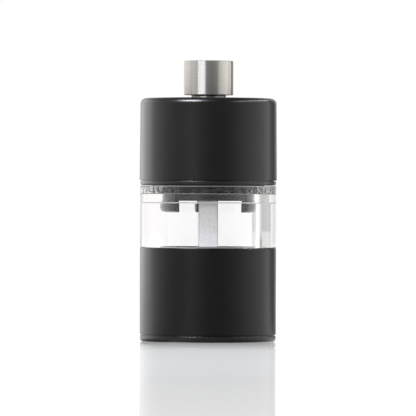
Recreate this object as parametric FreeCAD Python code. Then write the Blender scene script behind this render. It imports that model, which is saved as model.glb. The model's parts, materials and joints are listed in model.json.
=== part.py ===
"""Twist-head pepper mill: a clear chamber, a ceramic grinder in the base, a grind adjuster on top.

Millimetres, +Z up along the mill's axis, origin at the centre of the foot's underside, and the
front of the mill towards -Y.
"""

import FreeCAD
import Part

import math
import os

from FreeCAD import Vector

# Heights of the visible stack, from the table to the top of the knob
FOOT_HEIGHT = 2.3
FOOT_GROOVE = 0.35
SLEEVE_HEIGHT = 34.1
WINDOW_HEIGHT = 24.2
HEAD_GAP = 0.25
FLANGE_HEIGHT = 1.6
HEAD_GROOVE = 0.3
HEAD_HEIGHT = 32.2
COLLAR_HEIGHT = 0.85
FRICTION_WASHER_THICKNESS = 0.4
KNOB_HEIGHT = 13.4

# Outside diameters, and small differences between neighbours that line up
BODY_DIAMETER = 53.5
TRIM_SETBACK = 0.1
HEAD_PROUD = 0.2
HEAD_DRAFT = 0.25
KNOB_DIAMETER = 19.5
NECK_DIAMETER = 13.6
GROOVE_DEPTH = 0.8

# Clearances: pushed together, turning on each other, sliding square, turning free
SEAT_CLEARANCE = 0.05
BEARING_CLEARANCE = 0.06
SLIDE_CLEARANCE = 0.08
FREE_CLEARANCE = 0.25
THRUST_CLEARANCE = 0.05

# Edge roundings
FOOT_ROUNDING = 1.1
EDGE_ROUNDING = 0.2
SLEEVE_LIP_ROUNDING = 0.35
CONTAINER_EDGE_ROUNDING = 0.5
FLANGE_ROUNDING = 0.7
HEAD_ROUNDING = 2.2
SHELL_INNER_ROUNDING = 1.5
KNOB_TOP_ROUNDING = 0.4
KNOB_UNDER_ROUNDING = 0.25

# Clear pepper container
CHAMBER_DIAMETER = 38.0
THROAT_STEP = 0.5
THROAT_HEIGHT = 3.8
THROAT_BEVEL = 0.4
COUNTERBORE_LEDGE = 3.7
COUNTERBORE_DEPTH = 3.05
SPIGOT_DEPTH = 5.75

# Base sleeve and foot ring
SLEEVE_WALL = 1.7
FOOT_FLOOR = 2.0
FOOT_SPIGOT_HEIGHT = 6.0
FOOT_SPIGOT_WALL = 1.5
OUTLET_FLARE = 1.0

# Square drive shaft with a threaded stud at its top, drawn plain at the thread's pitch line
SHAFT_WIDTH = 7.5
SHAFT_EDGE = 0.4
THREAD_DIAMETER = 5.0
THREAD_PITCH = 0.8
PITCH_LINE_SHARE = 0.325
STUD_TIP_BEVEL = 0.6
STUD_LENGTH = 22.0
STUD_HEADROOM = 1.8

# Grinder: a toothed rotor on the shaft inside a toothed stator
GRINDER_HEIGHT_ABOVE_TABLE = 5.0
STATOR_HEIGHT = 14.0
STATOR_WALL = 2.8
ROTOR_HEIGHT = 15.0
ROTOR_DIAMETER = 28.2
FINE_HEIGHT = 6.0
FINE_TAPER = 1.5
FINE_DEPTH = 0.6
FINE_TEETH = 32
FINE_TWIST = 9.0
FINE_STEPS = 1
COARSE_DEPTH = 1.3
COARSE_TEETH = 9
COARSE_TWIST = 46.0
STATOR_TWIST = 23.0
COARSE_STEPS = 3
GRIND_GAP = 0.45
ENTRY_GAP = 0.9
FEED_GAP = 4.8
TOOTH_TIP_SHARE = 0.3
TOOTH_ROOT_SHARE = 0.34
STATOR_KEYS = 3
KEY_WIDTH = 4.0
KEY_DEPTH = 1.0
KEY_HEIGHT = 5.0
RETAINER_THICKNESS = 1.6
RETAINER_INSET = 0.5

# Rotor fastening under the shaft
ROTOR_RECESS_DEPTH = 1.4
ROTOR_WASHER_DIAMETER = 12.6
ROTOR_WASHER_THICKNESS = 1.0
SHAFT_END_GAP = 0.3
ROTOR_SCREW_DIAMETER = 4.0
ROTOR_SCREW_LENGTH = 12.0
ROTOR_SCREW_HEAD_DIAMETER = 7.6
ROTOR_SCREW_HEAD_HEIGHT = 2.2

# Rotor spring
SPRING_LENGTH = 6.0
SPRING_WIRE = 0.9
SPRING_TURNS = 3.25
SPRING_CLEARANCE = 0.6
SPRING_SEAT = 0.4
SPRING_SAMPLES = 300

# Grinder housing: funnel, bridge with the shaft's bearing, and the cup that holds the stator
RIM_RISE = 0.45
RIM_WALL = 0.7
HOUSING_FLANGE_THICKNESS = 2.5
CUP_WALL = 2.0
FEED_LIP = 0.6
FEED_LIP_HEIGHT = 1.0
HUB_HEIGHT = 6.0
HUB_WALL = 1.5
BRIDGE_ARMS = 3
ARM_WIDTH = 3.0
ARM_HEIGHT = 4.2
ARM_ROOF = 1.2
ARM_EMBED = 0.5
BUSH_WALL = 1.2
BUSH_FLANGE_WIDTH = 1.3
BUSH_FLANGE_THICKNESS = 1.2
BUSH_RISE = 0.5

# Head shell and the insert that closes it
SHELL_WALL = 1.8
SHELL_ROOF = 2.0
COLLAR_BARREL_DIAMETER = 9.8
COLLAR_BARREL_LENGTH = 6.0
BOSS_WALL = 2.0
PLUG_HEIGHT = 9.0
PLUG_WALL = 1.6
WEB_THICKNESS = 2.8
SOCKET_HEIGHT = 8.0
SOCKET_WALL = 2.4
CLIP_WALL = 1.65
CLIP_RISE = 1.0
BACK_TAB_HALF_ANGLE = 12.0
SIDE_TAB_START = 43.0
SIDE_TAB_ANGLE = 55.0
SIDE_TAB_ROUNDING = 3.0
TAB_HEIGHT = 4.55
TAB_PROUD = 0.25
TAB_LEAD_IN = 0.5
TAB_SLOT = 0.7
TAB_SLOT_HEIGHT = 2.5
TAB_TURN = 3.7

# Driver plate that carries the turning force from the head to the shaft
PLATE_DIAMETER = 26.0
PLATE_THICKNESS = 1.2
PLATE_SCREWS = 3
PLATE_SCREW_TURN = 30.0
PLATE_SCREW_CIRCLE = 18.6
PLATE_SCREW_DIAMETER = 2.4
PLATE_SCREW_LENGTH = 7.0
PLATE_SCREW_HEAD_DIAMETER = 4.4
PLATE_SCREW_HEAD_HEIGHT = 1.3
SCREW_BOSS_WALL = 1.6

# Cross slots in the screw heads
CROSS_WIDTH_SHARE = 0.16
CROSS_LENGTH_SHARE = 0.6
CROSS_DEPTH_SHARE = 0.55

# Knob
KNOB_CROWN = 3.0
NUT_DIAMETER = 8.8
NUT_LENGTH = 9.6

# Heights worked out from the stack
sleeve_bottom = FOOT_HEIGHT + FOOT_GROOVE
sleeve_top = sleeve_bottom + SLEEVE_HEIGHT
window_top = sleeve_top + WINDOW_HEIGHT
flange_bottom = window_top + HEAD_GAP
flange_top = flange_bottom + FLANGE_HEIGHT
shell_bottom = flange_top + HEAD_GROOVE
shell_top = shell_bottom + HEAD_HEIGHT
collar_top = shell_top + COLLAR_HEIGHT
friction_washer_bottom = collar_top + THRUST_CLEARANCE
knob_bottom = friction_washer_bottom + FRICTION_WASHER_THICKNESS
knob_top = knob_bottom + KNOB_HEIGHT

container_bottom = sleeve_top - SPIGOT_DEPTH
counterbore_floor = window_top - COUNTERBORE_DEPTH
throat_bottom = counterbore_floor - THROAT_HEIGHT

grinder_bottom = GRINDER_HEIGHT_ABOVE_TABLE
cup_bottom = grinder_bottom - RETAINER_THICKNESS
stator_top = grinder_bottom + STATOR_HEIGHT
rotor_top = grinder_bottom + ROTOR_HEIGHT
fine_top = grinder_bottom + FINE_HEIGHT
bush_bottom = rotor_top + SPRING_LENGTH
hub_bottom = bush_bottom + BUSH_FLANGE_THICKNESS + THRUST_CLEARANCE
hub_top = hub_bottom + HUB_HEIGHT
funnel_rim = sleeve_top + RIM_RISE
recess_ceiling = grinder_bottom + ROTOR_RECESS_DEPTH
washer_bottom = recess_ceiling - ROTOR_WASHER_THICKNESS
shaft_bottom = recess_ceiling + SHAFT_END_GAP
stud_top = knob_top - KNOB_CROWN - STUD_HEADROOM
square_top = stud_top - STUD_LENGTH

shoulder_bottom = counterbore_floor + FREE_CLEARANCE
clip_bottom = throat_bottom + CLIP_RISE
web_top = flange_top
web_bottom = web_top - WEB_THICKNESS
plate_bottom = web_bottom - PLATE_THICKNESS

# Radii worked out from the diameters, walls and clearances
body_radius = BODY_DIAMETER / 2
trim_radius = body_radius - TRIM_SETBACK
groove_radius = body_radius - GROOVE_DEPTH
sleeve_bore = body_radius - SLEEVE_WALL
sleeve_plug = sleeve_bore - SEAT_CLEARANCE
head_bottom_radius = body_radius + HEAD_PROUD
head_top_radius = head_bottom_radius - HEAD_DRAFT
shell_bore = body_radius - SHELL_WALL
shell_plug = shell_bore - SEAT_CLEARANCE
knob_radius = KNOB_DIAMETER / 2
neck_radius = NECK_DIAMETER / 2
nut_radius = NUT_DIAMETER / 2

chamber_radius = CHAMBER_DIAMETER / 2
throat_radius = chamber_radius - THROAT_STEP
counterbore_radius = throat_radius + COUNTERBORE_LEDGE
housing_neck = chamber_radius - SEAT_CLEARANCE
tab_radius = throat_radius - FREE_CLEARANCE
clip_radius = tab_radius - TAB_PROUD
clip_bore = clip_radius - CLIP_WALL
shoulder_radius = counterbore_radius - FREE_CLEARANCE

stud_radius = THREAD_DIAMETER / 2 - PITCH_LINE_SHARE * THREAD_PITCH
stud_passage = THREAD_DIAMETER / 2 + FREE_CLEARANCE
stud_hole = stud_radius + BEARING_CLEARANCE
shaft_corner = math.hypot(SHAFT_WIDTH / 2, SHAFT_WIDTH / 2 - SHAFT_EDGE)
square_hole_width = SHAFT_WIDTH + 2 * SLIDE_CLEARANCE
square_hole_corner = square_hole_width / math.sqrt(2)

spring_radius = shaft_corner + SPRING_CLEARANCE + SPRING_WIRE / 2
bush_radius = square_hole_corner + BUSH_WALL
hub_bore = bush_radius + BEARING_CLEARANCE
hub_radius = hub_bore + HUB_WALL
bush_flange_radius = bush_radius + BUSH_FLANGE_WIDTH

rotor_top_radius = spring_radius + SPRING_WIRE / 2 + SPRING_SEAT + COARSE_DEPTH
rotor_bottom_radius = ROTOR_DIAMETER / 2
rotor_break_radius = rotor_bottom_radius - FINE_TAPER
stator_bottom_bore = rotor_bottom_radius + GRIND_GAP
stator_break_bore = rotor_break_radius + ENTRY_GAP
stator_top_bore = rotor_top_radius + FEED_GAP
stator_radius = stator_bottom_bore + FINE_DEPTH + STATOR_WALL
cup_bore = stator_radius + SEAT_CLEARANCE
cup_radius = cup_bore + CUP_WALL
retainer_bore = stator_bottom_bore + FINE_DEPTH + RETAINER_INSET
outlet_radius = retainer_bore + RETAINER_INSET
feed_radius = stator_top_bore + FEED_LIP
screw_hole = ROTOR_SCREW_DIAMETER / 2 + SEAT_CLEARANCE
recess_radius = ROTOR_WASHER_DIAMETER / 2 + FREE_CLEARANCE
collar_barrel = COLLAR_BARREL_DIAMETER / 2
plate_screw_hole = PLATE_SCREW_DIAMETER / 2 + SEAT_CLEARANCE
screw_boss = plate_screw_hole + SCREW_BOSS_WALL

AXIS = Vector(0, 0, 1)
ORIGIN = Vector(0, 0, 0)

# Directions of the mill's back and front on the plan, in degrees from +X
BACK = 90.0
FRONT = -90.0


def rounded_corner(before, corner, after, rounding):
    """Start, middle and end of the arc that rounds one corner of an outline."""
    back = (before - corner).normalize()
    onward = (after - corner).normalize()
    half_angle = back.getAngle(onward) / 2
    setback = rounding / math.tan(half_angle)
    inward = (back + onward).normalize()
    middle = corner + inward * (rounding / math.sin(half_angle) - rounding)
    return corner + back * setback, middle, corner + onward * setback


def turned(corners):
    """Solid turned about the axis from corners of (radius, height) or (radius, height, rounding)."""
    points = [Vector(corner[0], 0, corner[1]) for corner in corners]
    edges = []
    entries = []
    exits = []
    for index, corner in enumerate(corners):
        if len(corner) == 2:
            entries.append(points[index])
            exits.append(points[index])
            continue
        after = points[(index + 1) % len(points)]
        start, middle, end = rounded_corner(points[index - 1], points[index], after, corner[2])
        edges.append(Part.Arc(start, middle, end).toShape())
        entries.append(start)
        exits.append(end)
    for index, start in enumerate(exits):
        end = entries[(index + 1) % len(entries)]
        edges.append(Part.LineSegment(start, end).toShape())
    outline = Part.Wire(Part.__sortEdges__(edges))
    return Part.Face(outline).revolve(ORIGIN, AXIS, 360)


def ring(inner, outer, bottom, top):
    """Plain ring or tube."""
    return turned([(inner, bottom), (outer, bottom), (outer, top), (inner, top)])


def disc(radius, bottom, top, place=ORIGIN):
    """Plain upright cylinder standing at a place on the plan."""
    return Part.makeCylinder(radius, top - bottom, Vector(place.x, place.y, bottom), AXIS)


def block(width, depth, bottom, top):
    """Upright block centred on the axis."""
    return Part.makeBox(width, depth, top - bottom, Vector(-width / 2, -depth / 2, bottom))


def square_hole(bottom, top):
    """Cutter for a hole that slides on the drive shaft."""
    return block(square_hole_width, square_hole_width, bottom, top)


def turn(shape, degrees):
    """The shape turned about the axis."""
    return shape.rotated(ORIGIN, AXIS, degrees)


def around(shape, count, start=0.0):
    """Evenly spaced copies of a shape round the axis."""
    return [turn(shape, start + 360.0 * index / count) for index in range(count)]


def on_circle(diameter, count, start=0.0):
    """Evenly spaced places on a circle round the axis."""
    angles = [math.radians(start + 360.0 * index / count) for index in range(count)]
    return [Vector(diameter / 2 * math.cos(angle), diameter / 2 * math.sin(angle), 0) for angle in angles]


def toothed_outline(height, tip_radius, root_radius, teeth, twist):
    """Closed star outline at one height, with flat tips and flat roots."""
    pitch = 360.0 / teeth
    half_tip = TOOTH_TIP_SHARE / 2
    half_root = TOOTH_ROOT_SHARE / 2
    tooth = [(-half_tip, tip_radius), (half_tip, tip_radius)]
    gap = [(0.5 - half_root, root_radius), (0.5 + half_root, root_radius)]
    points = []
    for index in range(teeth):
        for share, radius in tooth + gap:
            angle = math.radians(twist + pitch * (index + share))
            points.append(Vector(radius * math.cos(angle), radius * math.sin(angle), height))
    return Part.makePolygon(points + points[:1])


def toothed_cone(bottom, top, teeth, twist, steps):
    """Cone with twisted teeth, between two levels of (height, tip radius, root radius)."""
    outlines = []
    for step in range(steps + 1):
        share = step / steps
        height, tip, root = (low + share * (high - low) for low, high in zip(bottom, top))
        outlines.append(toothed_outline(height, tip, root, teeth, twist * share))
    return Part.makeLoft(outlines, True, True)


def foot_ring():
    """Trim ring that the mill stands on. It plugs into the sleeve and holds the grinder up."""
    wall_bore = sleeve_plug - FOOT_SPIGOT_WALL
    wall_top = sleeve_bottom + FOOT_SPIGOT_HEIGHT
    return turned([
        (outlet_radius + OUTLET_FLARE, 0),
        (trim_radius, 0, FOOT_ROUNDING),
        (trim_radius, FOOT_HEIGHT, EDGE_ROUNDING),
        (groove_radius, FOOT_HEIGHT),
        (groove_radius, sleeve_bottom),
        (sleeve_plug, sleeve_bottom),
        (sleeve_plug, wall_top, EDGE_ROUNDING),
        (wall_bore, wall_top, EDGE_ROUNDING),
        (wall_bore, FOOT_FLOOR),
        (cup_radius, FOOT_FLOOR),
        (cup_radius, cup_bottom),
        (outlet_radius, cup_bottom),
        (outlet_radius, OUTLET_FLARE),
    ])


def base_sleeve():
    """Satin outer tube of the base."""
    return turned([
        (sleeve_bore, sleeve_bottom),
        (body_radius, sleeve_bottom, EDGE_ROUNDING),
        (body_radius, sleeve_top, SLEEVE_LIP_ROUNDING),
        (sleeve_bore, sleeve_top),
    ])


def pepper_container():
    """Thick clear ring with a spigot below and a stepped throat, bevelled on both edges, above."""
    return turned([
        (chamber_radius, container_bottom),
        (sleeve_plug, container_bottom, EDGE_ROUNDING),
        (sleeve_plug, sleeve_top),
        (body_radius, sleeve_top, EDGE_ROUNDING),
        (body_radius, window_top, CONTAINER_EDGE_ROUNDING),
        (counterbore_radius, window_top, EDGE_ROUNDING),
        (counterbore_radius, counterbore_floor),
        (throat_radius + THROAT_BEVEL, counterbore_floor),
        (throat_radius, counterbore_floor - THROAT_BEVEL),
        (throat_radius, throat_bottom + THROAT_BEVEL),
        (chamber_radius, throat_bottom),
    ])


def stator_keys(width, depth, bottom, top):
    """Blocks standing out from the stator's wall that stop it turning in its cup."""
    inner = stator_radius - KEY_DEPTH
    key = Part.makeBox(stator_radius + depth - inner, width, top - bottom, Vector(inner, -width / 2, bottom))
    return around(key, STATOR_KEYS)


def bridge_arm():
    """Roof-topped arm from the hub to the funnel's wall."""
    half = ARM_WIDTH / 2
    roof = hub_bottom + ARM_HEIGHT
    section = [
        Vector(0, -half, hub_bottom),
        Vector(0, half, hub_bottom),
        Vector(0, half, roof - ARM_ROOF),
        Vector(0, 0, roof),
        Vector(0, -half, roof - ARM_ROOF),
    ]
    face = Part.Face(Part.makePolygon(section + section[:1]))
    return face.extrude(Vector(housing_neck - ARM_EMBED, 0, 0))


def grinder_housing():
    """Funnel with a three-armed bridge for the shaft's bearing, over the cup of the stator."""
    flange_bottom_edge = container_bottom - HOUSING_FLANGE_THICKNESS
    lip_top = stator_top + FEED_LIP_HEIGHT
    body = turned([
        (cup_bore, cup_bottom),
        (cup_radius, cup_bottom),
        (cup_radius, flange_bottom_edge),
        (sleeve_plug, flange_bottom_edge),
        (sleeve_plug, container_bottom),
        (housing_neck, container_bottom),
        (housing_neck, funnel_rim),
        (housing_neck - RIM_WALL, funnel_rim),
        (feed_radius, lip_top),
        (feed_radius, stator_top),
        (cup_bore, stator_top),
    ])
    arms = around(bridge_arm(), BRIDGE_ARMS, BACK)
    body = body.fuse([disc(hub_radius, hub_bottom, hub_top)] + arms)
    key_top = grinder_bottom + KEY_HEIGHT + SEAT_CLEARANCE
    key_slots = stator_keys(KEY_WIDTH + 2 * SEAT_CLEARANCE, KEY_DEPTH + SEAT_CLEARANCE, cup_bottom, key_top)
    return body.cut([disc(hub_bore, hub_bottom, hub_top)] + key_slots).removeSplitter()


def rotor_levels():
    """Height, tip radius and root radius at the rotor's bottom, tooth change and top."""
    bottom = (grinder_bottom, rotor_bottom_radius, rotor_bottom_radius - FINE_DEPTH)
    change = (fine_top, rotor_break_radius, rotor_break_radius - FINE_DEPTH)
    deep_change = (fine_top, rotor_break_radius, rotor_break_radius - COARSE_DEPTH)
    top = (rotor_top, rotor_top_radius, rotor_top_radius - COARSE_DEPTH)
    return bottom, change, deep_change, top


def rotor():
    """Ceramic cone: coarse twisted teeth that draw the peppercorns in, over a ring of fine teeth."""
    bottom, change, deep_change, top = rotor_levels()
    fine = toothed_cone(bottom, change, FINE_TEETH, FINE_TWIST, FINE_STEPS)
    coarse = toothed_cone(deep_change, top, COARSE_TEETH, COARSE_TWIST, COARSE_STEPS)
    cone = fine.fuse(coarse)
    recess = disc(recess_radius, grinder_bottom, recess_ceiling)
    return cone.cut([square_hole(grinder_bottom, rotor_top), recess])


def stator():
    """Ceramic ring whose inner teeth twist against the rotor's, with keys on its outer wall."""
    bottom = (grinder_bottom, stator_bottom_bore + FINE_DEPTH, stator_bottom_bore)
    change = (fine_top, stator_break_bore + FINE_DEPTH, stator_break_bore)
    deep_change = (fine_top, stator_break_bore + COARSE_DEPTH, stator_break_bore)
    top = (stator_top, stator_top_bore + COARSE_DEPTH, stator_top_bore)
    fine = toothed_cone(bottom, change, FINE_TEETH, -FINE_TWIST, FINE_STEPS)
    coarse = toothed_cone(deep_change, top, COARSE_TEETH, -STATOR_TWIST, COARSE_STEPS)
    keys = stator_keys(KEY_WIDTH, KEY_DEPTH, grinder_bottom, grinder_bottom + KEY_HEIGHT)
    solid = disc(stator_radius, grinder_bottom, stator_top).fuse(keys)
    return solid.cut([fine, coarse]).removeSplitter()


def stator_retainer():
    """Ring pushed into the cup under the stator."""
    return ring(retainer_bore, cup_bore - SEAT_CLEARANCE, cup_bottom, grinder_bottom)


def shaft_bush():
    """Bearing that turns in the bridge. The shaft slides in its square hole, the spring lifts its flange."""
    bush_top = hub_top + BUSH_RISE
    flange_top_edge = bush_bottom + BUSH_FLANGE_THICKNESS
    body = turned([
        (0, bush_bottom),
        (bush_flange_radius, bush_bottom, EDGE_ROUNDING),
        (bush_flange_radius, flange_top_edge),
        (bush_radius, flange_top_edge),
        (bush_radius, bush_top, EDGE_ROUNDING),
        (0, bush_top),
    ])
    return body.cut(square_hole(bush_bottom, bush_top))


def arc_from_tangent(start, meeting, end):
    """Arc from start to end whose end tangents meet at a point."""
    middle_of_chord = (start + end) * 0.5
    cosine = (end - start).Length / 2 / (meeting - start).Length
    middle = meeting + (middle_of_chord - meeting) * (1 / (1 + cosine))
    return Part.Arc(start, middle, end).toShape()


def biarc(start, start_way, end, end_way):
    """Two arcs that leave start and reach end along unit tangents."""
    chord = end - start
    square = 2 * (1 - start_way.dot(end_way))
    linear = 2 * chord.dot(start_way + end_way)
    reach = (-linear + math.sqrt(linear ** 2 + 4 * square * chord.dot(chord))) / (2 * square)
    first = start + start_way * reach
    second = end - end_way * reach
    joint = (first + second) * 0.5
    return [arc_from_tangent(start, first, joint), arc_from_tangent(joint, second, end)]


def spring_point(turns):
    """Place and unit tangent on the spring's helix after a number of turns."""
    angle = 2 * math.pi * turns
    rise = SPRING_LENGTH / SPRING_TURNS
    place = Vector(spring_radius * math.cos(angle), spring_radius * math.sin(angle), rotor_top + rise * turns)
    slope = rise / (2 * math.pi)
    way = Vector(-spring_radius * math.sin(angle), spring_radius * math.cos(angle), slope).normalize()
    return place, way


def rotor_spring():
    """Compression spring with ground ends between the rotor and the bush."""
    quarters = round(SPRING_TURNS * 4)
    stations = [spring_point(SPRING_TURNS * index / quarters) for index in range(quarters + 1)]
    edges = []
    for (start, start_way), (end, end_way) in zip(stations, stations[1:]):
        edges += biarc(start, start_way, end, end_way)
    path = Part.Wire(edges)
    start, way = stations[0]
    section = Part.Wire(Part.makeCircle(SPRING_WIRE / 2, start, way))
    coil = path.makePipeShell([section], True, False)
    report_spring_gap(path)
    return coil.common(disc(rotor_top_radius + SPRING_WIRE, rotor_top, bush_bottom))


def report_spring_gap(path):
    """Print the least gap between neighbouring turns, measured on points half a turn or more apart."""
    samples = path.discretize(Number=SPRING_SAMPLES)
    apart = int(SPRING_SAMPLES / SPRING_TURNS / 2)
    distances = [
        first.distanceToPoint(second)
        for index, first in enumerate(samples)
        for second in samples[index + apart:]
    ]
    print("spring turns: least gap", round(min(distances) - SPRING_WIRE, 2), "mm")


def drive_shaft():
    """Square bar with bevelled edges, a stud for the knob above and a screw hole below."""
    half = SHAFT_WIDTH / 2
    flat = half - SHAFT_EDGE
    corners = [(half, -flat), (half, flat), (flat, half), (-flat, half)]
    corners += [(-x, -y) for x, y in corners]
    points = [Vector(x, y, shaft_bottom) for x, y in corners]
    bar = Part.Face(Part.makePolygon(points + points[:1])).extrude(AXIS * (square_top - shaft_bottom))
    stud = turned([
        (0, square_top),
        (stud_radius, square_top),
        (stud_radius, stud_top - STUD_TIP_BEVEL),
        (stud_radius - STUD_TIP_BEVEL, stud_top),
        (0, stud_top),
    ])
    hole = disc(screw_hole, shaft_bottom, washer_bottom + ROTOR_SCREW_LENGTH + SHAFT_END_GAP)
    return bar.fuse(stud).cut(hole).removeSplitter()


def rotor_washer():
    """Washer that carries the rotor on the screw."""
    return ring(screw_hole, ROTOR_WASHER_DIAMETER / 2, washer_bottom, recess_ceiling)


def pan_head_screw(diameter, length, head_diameter, head_height, seat):
    """Screw pointing up, its cross-slotted head hanging below its seat."""
    head_bottom = seat - head_height
    body = turned([
        (0, head_bottom),
        (head_diameter / 2, head_bottom, head_height / 2),
        (head_diameter / 2, seat),
        (diameter / 2, seat),
        (diameter / 2, seat + length),
        (0, seat + length),
    ])
    width = head_diameter * CROSS_WIDTH_SHARE
    reach = head_diameter * CROSS_LENGTH_SHARE
    slot_top = head_bottom + head_height * CROSS_DEPTH_SHARE
    slots = [block(reach, width, head_bottom, slot_top), block(width, reach, head_bottom, slot_top)]
    return body.cut(slots)


def rotor_screw():
    """Screw that holds the rotor on the shaft."""
    return pan_head_screw(ROTOR_SCREW_DIAMETER, ROTOR_SCREW_LENGTH, ROTOR_SCREW_HEAD_DIAMETER,
                          ROTOR_SCREW_HEAD_HEIGHT, washer_bottom)


def head_shell():
    """Satin cap with a little draft, a rounded top edge and a boss for the steel collar."""
    roof = shell_top - SHELL_ROOF
    collar_hole = collar_barrel + SEAT_CLEARANCE
    boss = collar_hole + BOSS_WALL
    boss_bottom = shell_top - COLLAR_BARREL_LENGTH
    return turned([
        (shell_bore, shell_bottom),
        (head_bottom_radius, shell_bottom, EDGE_ROUNDING),
        (head_top_radius, shell_top, HEAD_ROUNDING),
        (collar_hole, shell_top),
        (collar_hole, boss_bottom),
        (boss, boss_bottom),
        (boss, roof),
        (shell_bore, roof, SHELL_INNER_ROUNDING),
    ])


def ring_sector(inner, outer, bottom, top, start, degrees):
    """Sector of a ring with a slanted lower face, from a start angle on the plan."""
    face = Part.Face(Part.makePolygon([
        Vector(inner, 0, bottom),
        Vector(outer, 0, bottom + TAB_LEAD_IN),
        Vector(outer, 0, top),
        Vector(inner, 0, top),
        Vector(inner, 0, bottom),
    ]))
    return turn(face.revolve(ORIGIN, AXIS, degrees), start)


def side_tab():
    """Tab on the +X side, between the front and the back, whose lower outer corner is rounded off."""
    tab_bottom = clip_bottom - TAB_HEIGHT
    tab = ring_sector(clip_bore, tab_radius, tab_bottom, clip_bottom, FRONT + SIDE_TAB_START, SIDE_TAB_ANGLE)
    corner = Vector(tab_radius - SIDE_TAB_ROUNDING, -tab_radius, tab_bottom + SIDE_TAB_ROUNDING)
    length = 2 * tab_radius
    waste = Part.makeBox(2 * SIDE_TAB_ROUNDING, length, SIDE_TAB_ROUNDING,
                         corner - Vector(0, 0, SIDE_TAB_ROUNDING))
    round_off = Part.makeCylinder(SIDE_TAB_ROUNDING, length, corner, Vector(0, 1, 0))
    return tab.cut(waste.cut(round_off))


def guide_tabs():
    """Tabs under the insert's clip ring: a plain one at the back and a mirrored pair at the sides."""
    back_start = BACK - BACK_TAB_HALF_ANGLE
    back_tab = ring_sector(clip_bore, tab_radius, clip_bottom - TAB_HEIGHT, clip_bottom,
                           back_start, 2 * BACK_TAB_HALF_ANGLE)
    right = side_tab()
    left = right.mirror(ORIGIN, Vector(1, 0, 0))
    return [turn(tab, TAB_TURN) for tab in (back_tab, left, right)]


def tab_slots():
    """Slots in the clip ring beside the tabs' free ends, which let the tabs spring."""
    slot = Part.makeBox(clip_radius + TAB_SLOT - clip_bore + TAB_SLOT, TAB_SLOT, TAB_SLOT_HEIGHT,
                        Vector(clip_bore - TAB_SLOT, -TAB_SLOT / 2, clip_bottom))
    margin = math.degrees(TAB_SLOT / 2 / clip_radius)
    back_offset = BACK_TAB_HALF_ANGLE + margin
    side_offset = SIDE_TAB_START - margin
    places = [BACK - back_offset, BACK + back_offset, FRONT - side_offset, FRONT + side_offset]
    return [turn(slot, place + TAB_TURN) for place in places]


def plate_screw_places():
    """Plan places of the driver plate's screws."""
    return on_circle(PLATE_SCREW_CIRCLE, PLATE_SCREWS, PLATE_SCREW_TURN)


def head_insert():
    """Plug of the head: visible flange ring, clip ring with tabs in the container's throat, shaft socket."""
    socket = square_hole_corner + SOCKET_WALL
    socket_top = web_top + SOCKET_HEIGHT
    plug_bore = shell_plug - PLUG_WALL
    plug_top = shell_bottom + PLUG_HEIGHT
    boss_top = web_bottom + PLATE_SCREW_LENGTH
    body = turned([
        (0, web_bottom),
        (clip_bore, web_bottom),
        (clip_bore, clip_bottom),
        (clip_radius, clip_bottom),
        (clip_radius, shoulder_bottom),
        (shoulder_radius, shoulder_bottom, EDGE_ROUNDING),
        (shoulder_radius, flange_bottom),
        (trim_radius, flange_bottom, FLANGE_ROUNDING),
        (trim_radius, flange_top, EDGE_ROUNDING),
        (groove_radius, flange_top),
        (groove_radius, shell_bottom),
        (shell_plug, shell_bottom),
        (shell_plug, plug_top, EDGE_ROUNDING),
        (plug_bore, plug_top, EDGE_ROUNDING),
        (plug_bore, web_top),
        (socket, web_top),
        (socket, socket_top),
        (0, socket_top),
    ])
    bosses = [disc(screw_boss, web_top, boss_top, place) for place in plate_screw_places()]
    holes = [disc(plate_screw_hole, web_bottom, boss_top, place) for place in plate_screw_places()]
    body = body.fuse(guide_tabs() + bosses)
    return body.cut(tab_slots() + holes + [square_hole(web_bottom, socket_top)]).removeSplitter()


def driver_plate():
    """Steel plate under the insert whose square hole turns the shaft."""
    plate = disc(PLATE_DIAMETER / 2, plate_bottom, web_bottom)
    holes = [disc(plate_screw_hole, plate_bottom, web_bottom, place) for place in plate_screw_places()]
    return plate.cut(holes + [square_hole(plate_bottom, web_bottom)])


def plate_screws():
    """Screws that hold the driver plate."""
    screw = pan_head_screw(PLATE_SCREW_DIAMETER, PLATE_SCREW_LENGTH, PLATE_SCREW_HEAD_DIAMETER,
                           PLATE_SCREW_HEAD_HEIGHT, plate_bottom)
    return Part.makeCompound([screw.translated(place) for place in plate_screw_places()])


def top_collar():
    """Steel bush in the head's roof. Its flange is the bright step under the knob."""
    barrel_bottom = shell_top - COLLAR_BARREL_LENGTH
    return turned([
        (stud_passage, barrel_bottom),
        (collar_barrel, barrel_bottom, EDGE_ROUNDING),
        (collar_barrel, shell_top),
        (neck_radius, shell_top),
        (neck_radius, collar_top),
        (stud_passage, collar_top),
    ])


def friction_washer():
    """Black washer that the knob turns on."""
    return ring(stud_passage, neck_radius, friction_washer_bottom, knob_bottom)


def adjuster_knob():
    """Brushed steel knob, bored from below for its nut."""
    hole = nut_radius + SEAT_CLEARANCE
    crown = knob_top - KNOB_CROWN
    return turned([
        (hole, knob_bottom),
        (knob_radius, knob_bottom, KNOB_UNDER_ROUNDING),
        (knob_radius, knob_top, KNOB_TOP_ROUNDING),
        (0, knob_top),
        (0, crown),
        (hole, crown),
    ])


def knob_nut():
    """Brass nut pressed into the knob, bored to the thread's pitch line."""
    return ring(stud_hole, nut_radius, knob_bottom, knob_bottom + NUT_LENGTH)


PIECES = [
    foot_ring, base_sleeve, pepper_container, grinder_housing, stator, stator_retainer,
    shaft_bush, rotor_spring, drive_shaft, rotor, rotor_washer, rotor_screw,
    head_shell, head_insert, driver_plate, plate_screws, top_collar,
    friction_washer, adjuster_knob, knob_nut,
]

os.makedirs("parts", exist_ok=True)
for piece in PIECES:
    shape = piece()
    print(piece.__name__, "valid" if shape.isValid() else "NOT VALID", len(shape.Solids), "solids",
          round(shape.Volume, 1), "mm3")
    shape.exportStep("parts/" + piece.__name__ + ".step")
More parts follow.
